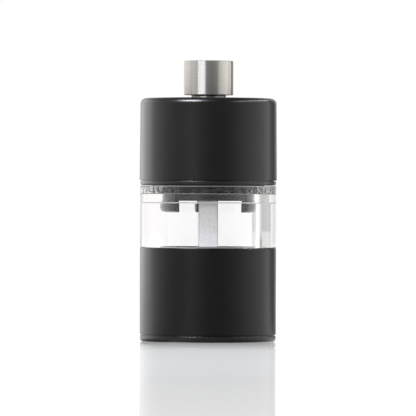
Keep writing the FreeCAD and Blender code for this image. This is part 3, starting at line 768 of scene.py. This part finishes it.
def grinder_ceramic():
    """Warm white dielectric with a sandy bump and sparse darker specks."""
    material, tree = empty_material("grinder_ceramic")
    place = add_node(tree, "ShaderNodeTexCoord").outputs["Object"]
    grain = add_node(tree, "ShaderNodeTexNoise", {
        "Vector": place, "Scale": per_metre(CERAMIC_GRAIN_MM), "Detail": 3.0})
    specks = add_node(tree, "ShaderNodeTexVoronoi", {
        "Vector": place, "Scale": per_metre(CERAMIC_SPECK_MM)})
    speck = add_node(tree, "ShaderNodeMapRange", {
        "Value": specks.outputs["Distance"], "From Min": 0.08, "From Max": 0.2})
    body = add_node(tree, "ShaderNodeMix", {
        "Factor": grain.outputs["Fac"], "A": linear("#d9d2c2"), "B": linear("#ebe6da")},
        data_type="RGBA")
    shade = add_node(tree, "ShaderNodeMix", {
        "Factor": speck.outputs["Result"], "A": linear("#b9ae99"), "B": body.outputs["Result"]},
        data_type="RGBA")
    gloss = add_node(tree, "ShaderNodeMapRange", {
        "Value": grain.outputs["Fac"], "To Min": 0.42, "To Max": 0.62})
    bump = add_node(tree, "ShaderNodeBump", {
        "Height": grain.outputs["Fac"], "Strength": 0.15, "Distance": 0.03 * MM})
    surface = add_node(tree, "ShaderNodeBsdfPrincipled", {
        "Base Color": shade.outputs["Result"], "Roughness": gloss.outputs["Result"],
        "Normal": bump.outputs["Normal"], "IOR": CERAMIC_IOR})
    add_node(tree, "ShaderNodeOutputMaterial", {"Surface": surface.outputs["BSDF"]})
    return material


# %% [markdown]
# ## Natural acetal
#
# The bearing on the shaft is natural acetal, a slippery milky plastic. Light enters it a little
# way before it comes back, which keeps its edges soft. A volume could scatter that light, but
# the shader's subsurface is quicker and as soft.

# %% Natural acetal
ACETAL_CLOUD_MM = 3.0
ACETAL_DEPTH_MM = 0.6
ACETAL_IOR = 1.48


def natural_acetal():
    """Milky dielectric with slight clouds and some light scattered below the surface."""
    material, tree = empty_material("natural_acetal")
    place = add_node(tree, "ShaderNodeTexCoord").outputs["Object"]
    cloud = add_node(tree, "ShaderNodeTexNoise", {
        "Vector": place, "Scale": per_metre(ACETAL_CLOUD_MM)})
    shade = add_node(tree, "ShaderNodeMix", {
        "Factor": cloud.outputs["Fac"], "A": linear("#dcdad2"), "B": linear("#e9e7e0")},
        data_type="RGBA")
    gloss = add_node(tree, "ShaderNodeMapRange", {
        "Value": cloud.outputs["Fac"], "To Min": 0.32, "To Max": 0.44})
    surface = add_node(tree, "ShaderNodeBsdfPrincipled", {
        "Base Color": shade.outputs["Result"], "Roughness": gloss.outputs["Result"],
        "IOR": ACETAL_IOR, "Subsurface Weight": 0.3, "Subsurface Scale": ACETAL_DEPTH_MM * MM})
    add_node(tree, "ShaderNodeOutputMaterial", {"Surface": surface.outputs["BSDF"]})
    return material


# %% [markdown]
# ## Turned brass
#
# The nut in the knob is turned from brass bar and left bare. It is a warm yellow with fine tool
# rings and a slight brown film where it has been handled. Rings could be cut into the mesh, but
# a wave texture along the axis is enough. They are about 0.15 mm apart and are drawn at 0.94 mm
# so that they show.

# %% Turned brass
BRASS_RING_MM = 0.9425
WAVE_LENGTH = math.pi / 10  # of the wave texture at a scale of 1
BRASS_FILM_MM = 3.0


def turned_brass():
    """Yellow metal with rings from the lathe tool and a patchy brown film."""
    material, tree = empty_material("turned_brass")
    place = add_node(tree, "ShaderNodeTexCoord").outputs["Object"]
    rings = add_node(tree, "ShaderNodeTexWave", {
        "Vector": place, "Scale": per_metre(BRASS_RING_MM) * WAVE_LENGTH, "Distortion": 2.0},
        bands_direction="Z")
    film = add_node(tree, "ShaderNodeTexNoise", {
        "Vector": place, "Scale": per_metre(BRASS_FILM_MM), "Detail": 4.0})
    shade = add_node(tree, "ShaderNodeMix", {
        "Factor": film.outputs["Fac"], "A": linear("#b8904a"), "B": linear("#dcb868")},
        data_type="RGBA")
    gloss = add_node(tree, "ShaderNodeMapRange", {
        "Value": film.outputs["Fac"], "To Min": 0.4, "To Max": 0.22})
    bump = add_node(tree, "ShaderNodeBump", {
        "Height": rings.outputs["Fac"], "Strength": 0.1, "Distance": 0.01 * MM})
    surface = add_node(tree, "ShaderNodeBsdfPrincipled", {
        "Base Color": shade.outputs["Result"], "Metallic": 1.0,
        "Roughness": gloss.outputs["Result"], "Normal": bump.outputs["Normal"]})
    add_node(tree, "ShaderNodeOutputMaterial", {"Surface": surface.outputs["BSDF"]})
    return material


# %% [markdown]
# ## Finishes on the parts
#
# The record says which finish each measured part has, so one loop dresses them all. The new pieces
# get theirs one by one. On the container the step's faces get the rippled acrylic, and the two
# bevels and the rounded top edge get the sanded one. Faces could be picked in Edit Mode, but
# picking them by where their centres lie still works when a size changes.

# %% Dress the measured parts
finishes = {
    "satin_black_lacquer": satin_black_lacquer("satin_black_lacquer", HEAD_IOR),
    "moulded_black_plastic": moulded_black_plastic("moulded_black_plastic", PLASTIC_IOR),
    "clear_acrylic": polished_acrylic(), "brushed_stainless": brushed_stainless(),
    "drawn_aluminium": drawn_aluminium(), "bright_steel": bright_steel(),
    "grinder_ceramic": grinder_ceramic(), "natural_acetal": natural_acetal(),
    "turned_brass": turned_brass()}
for subpart in frame["record"]["subparts"]:
    slots = frame["nodes"][subpart["node"]].data.materials
    slots.clear()
    slots.append(finishes[subpart["material_slot"]])
# A shaded copy of the lacquer for the base: painted shade by a lower IOR.
shaded_base_lacquer = satin_black_lacquer("shaded_base_black_lacquer", SHADED_BASE_IOR)
# A lit copy of the plastic for the plug and its hooks: a painted sheen by a higher IOR.
lit_plug_plastic = moulded_black_plastic("lit_plug_black_plastic", LIT_PLUG_IOR)
frame["nodes"]["base_sleeve"].data.materials[0] = shaded_base_lacquer
frame["nodes"]["head_insert"].data.materials[0] = lit_plug_plastic
print("finishes:", len(finishes))

# %% Dress the new pieces
# Shares of painted glow, an emission, on the sanded edges and bevels.
EDGE_PAINTED_GLOW = 0.12
BEVEL_PAINTED_GLOW = 0.65

steel_knob.data.materials.append(finishes["brushed_stainless"])
steel_collar.data.materials.append(finishes["brushed_stainless"])
rotor_coil.data.materials.append(finishes["bright_steel"])
stud_thread.data.materials.append(finishes["drawn_aluminium"])
for hook in snap_hooks:
    hook.data.materials.append(lit_plug_plastic)
acrylics = [finishes["clear_acrylic"], turned_acrylic(), sanded_acrylic("sanded_edge", EDGE_PAINTED_GLOW),
            sanded_acrylic("sanded_bevel", BEVEL_PAINTED_GLOW)]
for acrylic in acrylics:
    clear_container.data.materials.append(acrylic)

# %% Pick the container's faces
FACE_MARGIN = 0.02
POLISHED, RIPPLED, SANDED_EDGE, SANDED_BEVEL = range(len(acrylics))

faces = clear_container.data.polygons
centres = np.empty(len(faces) * 3)
faces.foreach_get("center", centres)
centres = centres.reshape(-1, 3) / MM
reach = np.hypot(centres[:, 0], centres[:, 1])
height = centres[:, 2]
below_step = step_floor - FACE_MARGIN
is_step = (reach < STEP_RADIUS) & (height > below_step)
is_throat = (reach > THROAT_RADIUS + FACE_MARGIN) & (reach < CHAMBER_RADIUS)
is_bevel = is_throat & (height > throat_bottom)
is_lower_bevel = is_bevel & (height < throat_bottom + LOWER_BEVEL)
is_upper_bevel = is_bevel & (height > step_floor - UPPER_BEVEL) & (height < below_step)
is_top_edge = (reach > container_radius - TOP_ROUNDING) & (height > container_top - TOP_ROUNDING)
finish = np.select([is_lower_bevel, is_upper_bevel | is_top_edge, is_step],
                   [SANDED_BEVEL, SANDED_EDGE, RIPPLED], POLISHED)
faces.foreach_set("material_index", finish.astype(np.int32))
print("faces polished, rippled, sanded edge, sanded bevel:", np.bincount(finish))

# %% [markdown]
# ## Studio
#
# The mill stands on a glossy white floor in a white studio, and the dark room behind the camera
# shows in its front. Real walls and cards could be built round it, but a world that answers by
# the kind of ray keeps the white clean. The camera sees plain white, also straight through the
# acrylic and in the sharp mirror of the floor. The mill's soft reflections see a room that is
# white behind, dark in front and dark overhead, with a dark flag behind on the right that keeps
# the mill's right edge from fading into the white. Reflections inside the acrylic see that room
# veiled by white. Everything else gets an even fill.

# %% Shade of the room by direction
# Each stop has an angle round the mill in degrees, 0 in front and 90 on the right, and a grey.
STUDIO_GREYS = [
    (-180, 1.0), (-100, 1.0), (-86, 0.9), (-73, 0.63), (-61, 0.5), (-48, 0.37), (-39, 0.36),
    (-34, 0.5), (-22, 0.46), (-14, 0.26), (0, 0.13), (20, 0.12), (33, 0.2), (50, 0.4), (67, 0.7),
    (95, 1.0), (110, 1.0), (116, 1.4), (123, 1.4), (132, 0.25), (151, 0.2), (161, 1.0), (180, 1.0)]
CEILING_STARTS = 0.3
CEILING_FULL = 0.85
CEILING_GREY = 0.2
ROOM_TINT = linear("#fffcfb")[:3]


def grey_ramp(tree, value, stops):
    """Grey that follows a value between 0 and 1, by straight lines from stop to stop."""
    ramp = add_node(tree, "ShaderNodeValToRGB", {"Fac": value})
    elements = ramp.color_ramp.elements
    elements.remove(elements[1])
    for number, (position, grey) in enumerate(stops):
        element = elements[0] if number == 0 else elements.new(1.0)
        element.position = position
        element.color = (grey, grey, grey, 1.0)
    return ramp.outputs["Color"]


def studio_shade(tree, vector, greys):
    """Grey of the room in a direction, from its angle round the mill: 0 is towards the camera.

    It darkens towards the ceiling, from one sine of the direction's rise to another.
    """
    axes = add_node(tree, "ShaderNodeSeparateXYZ", {"Vector": vector}).outputs
    front = add_node(tree, "ShaderNodeMath", {0: axes["Y"], 1: -1.0}, operation="MULTIPLY")
    angle = add_node(tree, "ShaderNodeMath", {
        0: axes["X"], 1: front.outputs[0]}, operation="ARCTAN2")
    share = add_node(tree, "ShaderNodeMapRange", {
        "Value": angle.outputs[0], "From Min": -math.pi, "From Max": math.pi})
    stops = [((degrees + 180.0) / 360.0, grey) for degrees, grey in greys]
    walls = grey_ramp(tree, share.outputs["Result"], stops)
    ceiling = add_node(tree, "ShaderNodeMapRange", {
        "Value": axes["Z"], "From Min": CEILING_STARTS, "From Max": CEILING_FULL,
        "To Min": 1.0, "To Max": CEILING_GREY})
    shade = add_node(tree, "ShaderNodeVectorMath", {
        0: walls, 1: ceiling.outputs["Result"]}, operation="MULTIPLY")
    return add_node(tree, "ShaderNodeVectorMath", {
        0: shade.outputs[0], 1: ROOM_TINT}, operation="MULTIPLY").outputs[0]


# %% World
FILL_LIGHT = 0.6
ACRYLIC_VEIL = 0.5
MIRRORED_ONCE = 0.5  # a count of mirrorings above this is one or more

world = bpy.data.worlds.new("studio")
world.use_nodes = True
sky = world.node_tree
sky.nodes.clear()
path = add_node(sky, "ShaderNodeLightPath").outputs
direction = add_node(sky, "ShaderNodeTexCoord").outputs["Generated"]
fill = add_node(sky, "ShaderNodeBackground", {
    "Color": linear("#ffffff"), "Strength": FILL_LIGHT})
room_grey = studio_shade(sky, direction, STUDIO_GREYS)
room = add_node(sky, "ShaderNodeBackground", {"Color": room_grey, "Strength": 1.0})
white = add_node(sky, "ShaderNodeBackground", {"Color": linear("#ffffff"), "Strength": 1.0})
sharp = add_node(sky, "ShaderNodeMath", {
    0: path["Is Camera Ray"], 1: path["Is Singular Ray"]}, operation="MAXIMUM")
was_mirrored = add_node(sky, "ShaderNodeMath", {
    0: path["Glossy Depth"], 1: MIRRORED_ONCE}, operation="GREATER_THAN")
clearness = add_node(sky, "ShaderNodeMapRange", {
    "Value": was_mirrored.outputs[0], "To Min": 1.0, "To Max": ACRYLIC_VEIL})
through = add_node(sky, "ShaderNodeMath", {
    0: path["Is Transmission Ray"], 1: clearness.outputs["Result"]}, operation="MULTIPLY")
seen = add_node(sky, "ShaderNodeMath", {
    0: sharp.outputs[0], 1: through.outputs[0]}, operation="MAXIMUM")
mirrored = add_node(sky, "ShaderNodeMixShader", {
    0: path["Is Glossy Ray"], 1: fill.outputs[0], 2: room.outputs[0]})
whole = add_node(sky, "ShaderNodeMixShader", {
    0: seen.outputs[0], 1: mirrored.outputs[0], 2: white.outputs[0]})
add_node(sky, "ShaderNodeOutputWorld", {"Surface": whole.outputs[0]})
world.cycles.sampling_method = "NONE"
bpy.context.scene.world = world
print("studio: stops of grey:", len(STUDIO_GREYS), "fill:", FILL_LIGHT)

# %% [markdown]
# ## Floor
#
# The floor is a sheet of glossy white acrylic. Seen almost along its surface it shows a clear
# reflection of the mill, and from above hardly any, which is how all polished plastic behaves. On
# top of that the mirror's share is painted by distance from the mill's axis: strongest at the foot,
# where the stronger mirror of the black base darkens the floor as painted contact shade beside the
# real shadow, and paling towards the camera. A faint shadow lies round the foot. Part of the
# floor's white is its own light, so that it joins the white background without an edge, and the
# rest is lit, so that the shadow stays. In the mill's own flanks the floor shows as the room's
# shade, only brighter behind on the left, where a lamp stands, and darker before it. From below the
# sheet is clear, so that the grinder can be looked at.

# %% Glossy white floor
FLOOR_HALF_WIDTH = 6.0
FLOOR_DROP = 0.05 * MM
FLOOR_GLOW = 0.76
FLOOR_LIT = "#b4b4b4"
FLOOR_IOR = 1.45
LEFT_FLOOR_GREYS = [
    (-180, 1.0), (-140, 1.3), (-104, 1.35), (-93, 1.05), (-84, 0.66), (-73, 0.4), (-61, 0.26),
    (-48, 0.19), (-39, 0.21)]
FLOOR_GREYS = LEFT_FLOOR_GREYS + [
    stop for stop in STUDIO_GREYS if stop[0] > LEFT_FLOOR_GREYS[-1][0]]
# Each stop has a distance from the mill's axis in metres and the mirror's share there. This share
# is a painted fade of the reflection, strongest at the foot as painted contact shade.
PAINTED_REFLECTION_SHARES = [(0.03, 0.9), (0.09, 0.76), (0.136, 0.63), (0.5, 0.58), (0.8, 0.42)]


def glossy_white_floor():
    """White sheet: glow plus lit white, mixed with a mirror by angle of view and by a painted fade
    with distance.
    """
    material, tree = empty_material("glossy_white_floor")
    place = add_node(tree, "ShaderNodeTexCoord").outputs["Object"]
    distance = add_node(tree, "ShaderNodeVectorMath", {0: place}, operation="LENGTH")
    # Painted reflection fade: the mirror's share falls with distance from the axis, darkest at the
    # foot.
    pale = grey_ramp(tree, distance.outputs["Value"], PAINTED_REFLECTION_SHARES)
    glance = add_node(tree, "ShaderNodeFresnel", {"IOR": FLOOR_IOR})
    share = add_node(tree, "ShaderNodeMath", {0: pale, 1: glance.outputs[0]}, operation="MULTIPLY")
    glow = add_node(tree, "ShaderNodeEmission", {"Strength": FLOOR_GLOW})
    lit = add_node(tree, "ShaderNodeBsdfDiffuse", {"Color": linear(FLOOR_LIT)})
    sheet = add_node(tree, "ShaderNodeAddShader", {0: glow.outputs[0], 1: lit.outputs[0]})
    mirror = add_node(tree, "ShaderNodeBsdfGlossy", {"Color": linear("#ffffff"), "Roughness": 0.0})
    open_floor = add_node(tree, "ShaderNodeMixShader", {
        0: share.outputs[0], 1: sheet.outputs[0], 2: mirror.outputs[0]})
    floor_grey = studio_shade(tree, place, FLOOR_GREYS)
    room_shade = add_node(tree, "ShaderNodeEmission", {"Color": floor_grey})
    mirrorings = add_node(tree, "ShaderNodeLightPath").outputs["Glossy Depth"]
    is_mirrored = add_node(tree, "ShaderNodeMath", {
        0: mirrorings, 1: MIRRORED_ONCE}, operation="GREATER_THAN")
    upper = add_node(tree, "ShaderNodeMixShader", {
        0: is_mirrored.outputs[0], 1: open_floor.outputs[0], 2: room_shade.outputs[0]})
    is_under = add_node(tree, "ShaderNodeNewGeometry").outputs["Backfacing"]
    clear = add_node(tree, "ShaderNodeBsdfTransparent", {"Color": linear("#ffffff")})
    surface = add_node(tree, "ShaderNodeMixShader", {
        0: is_under, 1: upper.outputs[0], 2: clear.outputs[0]})
    add_node(tree, "ShaderNodeOutputMaterial", {"Surface": surface.outputs[0]})
    return material


half = FLOOR_HALF_WIDTH
floor_corners = [(-half, -half), (half, -half), (half, half), (-half, half)]
floor_mesh = bpy.data.meshes.new("floor")
floor_mesh.from_pydata([(x, y, -FLOOR_DROP) for x, y in floor_corners], [], [(0, 1, 2, 3)])
floor_mesh.materials.append(glossy_white_floor())
floor = bpy.data.objects.new("floor", floor_mesh)
bpy.context.scene.collection.objects.link(floor)
print("floor:", 2 * half, "m wide")

# %% [markdown]
# ## Lamps
#
# Eight lamps model the mill. The key stands high in front on the left, and a small one beside
# it gives the black edges their glints. A wide one on the right draws the line on the right
# edge of the head, and one behind on the left lights the black flank. These would burn out the
# top of the steel knob, so in the studio flags keep them off it, and here light linking does.
# The steel has three low strips of its own: one draws the bright stripe, and two weak ones lift
# the shades beside it. The head shades the chamber, so a spot reaches in through the acrylic
# and lights the shaft, again linked. Each lamp's power is worked out from its brightness as the
# eye sees it, radiance times area times pi, so the total stays at a plain level.

# %% Pieces that a lamp lights
def lit_pieces(name, pieces, link_state="INCLUDE"):
    """A collection for light linking: the pieces that a lamp lights, or those it leaves out."""
    group = bpy.data.collections.new(name)
    for piece in pieces:
        group.objects.link(piece)
    for member in group.collection_objects:
        member.light_linking.link_state = link_state
    print(name + ":", [piece.name for piece in pieces], link_state.lower())
    return group


nodes = frame["nodes"]
blacks = lit_pieces("lit_as_black", [
    nodes["head_shell"], nodes["head_insert"], nodes["base_sleeve"], nodes["foot_ring"]])
steels = lit_pieces("lit_as_steel", [steel_knob, steel_collar])
all_but_steel = lit_pieces("all_but_steel", [steel_knob, steel_collar], "EXCLUDE")
inside = lit_pieces("lit_by_spot", [
    nodes["drive_shaft"], nodes["shaft_bush"], nodes["driver_plate"], nodes["plate_screws"]])

# %% Softboxes
LAMP_TARGET = Vector((0.0, 0.0, 60.0 * MM))


def softbox(name, azimuth, elevation, distance, width, height, radiance, colour, lit):
    """A rectangular lamp facing the mill, from an angle round it and a rise, both in degrees.

    Sizes and distance are in metres. Its power is radiance times area times pi.
    """
    turn = math.radians(azimuth)
    rise = math.radians(elevation)
    way = Vector((
        math.sin(turn) * math.cos(rise), -math.cos(turn) * math.cos(rise), math.sin(rise)))
    data = bpy.data.lights.new(name, "AREA")
    data.shape = "RECTANGLE"
    data.size = width
    data.size_y = height
    data.energy = radiance * width * height * math.pi
    data.color = linear(colour)[:3]
    lamp = bpy.data.objects.new(name, data)
    lamp.location = LAMP_TARGET + way * distance
    lamp.rotation_euler = (-way).to_track_quat("-Z", "Y").to_euler()
    lamp.visible_camera = False
    lamp.light_linking.receiver_collection = lit
    bpy.context.scene.collection.objects.link(lamp)
    print(name, "power:", round(data.energy, 2), "W")


# %% Set up the lamps
# Name, azimuth, elevation, distance, width, height, radiance, colour and the pieces that it lights.
LAMPS = [
    ("key_softbox", -38.4, 47, 0.6, 0.29, 0.28, 13, "#f4f8ff", all_but_steel),
    ("glint_softbox", -32, 44, 0.6, 0.24, 0.2, 15.5, "#f4f8ff", blacks),
    ("right_softbox", 95, 38, 0.7, 1.1, 0.12, 5, "#ffffff", all_but_steel),
    ("rim_softbox", -132, 12, 1.0, 0.85, 0.62, 1.12, "#ffffff", blacks),
    ("stripe_softbox", -33.4, 12, 0.8, 0.5, 0.5, 3.2, "#f0f4ff", steels),
    ("left_steel_softbox", -66, 12, 0.8, 0.42, 0.5, 0.6, "#ffffff", steels),
    ("right_steel_softbox", 75, 12, 0.8, 0.86, 0.5, 0.78, "#ffffff", steels),
    ("chamber_spot", -15, 2, 0.8, 0.3, 0.3, 16, "#ffffff", inside)]

for lamp in LAMPS:
    softbox(*lamp)

# %% [markdown]
# ## Grey card
#
# Clear acrylic on white would vanish, so photographers hold a grey card close beside it. This
# one stands behind the container's right wall, just outside the picture of the mill, and shows
# as the grey stripe there. It is seen only through the acrylic and never edge on, casts no
# shadow and lights nothing.

# %% Grey card
CARD_DEPTH = 12.0
CARD_SIDES = (25.4, 41.5)
CARD_HEIGHTS = (37.0, 62.0)
CARD_TURNS_PALE = 43.0
CARD_FADE = 0.5
CARD_MOTTLE_MM = 125.0
CARD_VANISHES = 0.8


def card_grey():
    """A grey glow with a faint mottle, so that it needs no lamp, and paler near the card's foot."""
    material, tree = empty_material("card_grey")
    place = add_node(tree, "ShaderNodeTexCoord").outputs["Object"]
    mottle = add_node(tree, "ShaderNodeTexNoise", {
        "Vector": place, "Scale": per_metre(CARD_MOTTLE_MM)})
    grey = add_node(tree, "ShaderNodeMix", {
        "Factor": mottle.outputs["Fac"], "A": linear("#b9b9b8"), "B": linear("#c0c0bf")},
        data_type="RGBA")
    height = add_node(tree, "ShaderNodeSeparateXYZ", {"Vector": place}).outputs["Z"]
    upper = add_node(tree, "ShaderNodeMapRange", {
        "Value": height, "From Min": (CARD_TURNS_PALE - CARD_FADE) * MM,
        "From Max": (CARD_TURNS_PALE + CARD_FADE) * MM})
    shade = add_node(tree, "ShaderNodeMix", {
        "Factor": upper.outputs["Result"], "A": linear("#dadad9"), "B": grey.outputs["Result"]},
        data_type="RGBA")
    glow = add_node(tree, "ShaderNodeEmission", {"Color": shade.outputs["Result"]})
    facing = add_node(tree, "ShaderNodeLayerWeight").outputs["Facing"]
    edge_on = add_node(tree, "ShaderNodeMath", {
        0: facing, 1: CARD_VANISHES}, operation="GREATER_THAN")
    clear = add_node(tree, "ShaderNodeBsdfTransparent", {"Color": linear("#ffffff")})
    surface = add_node(tree, "ShaderNodeMixShader", {
        0: edge_on.outputs[0], 1: glow.outputs[0], 2: clear.outputs[0]})
    add_node(tree, "ShaderNodeOutputMaterial", {"Surface": surface.outputs[0]})
    return material


left, right = CARD_SIDES
foot, top = CARD_HEIGHTS
card_corners = [(left, foot), (right, foot), (right, top), (left, top)]
card_mesh = bpy.data.meshes.new("grey_card")
card_mesh.from_pydata(
    [(x * MM, CARD_DEPTH * MM, z * MM) for x, z in card_corners], [], [(0, 1, 2, 3)])
card_mesh.materials.append(card_grey())
card = bpy.data.objects.new("grey_card", card_mesh)
card.visible_camera = False
card.visible_diffuse = False
card.visible_glossy = False
card.visible_shadow = False
bpy.context.scene.collection.objects.link(card)
print("grey card:", round(right - left, 1), "mm wide")
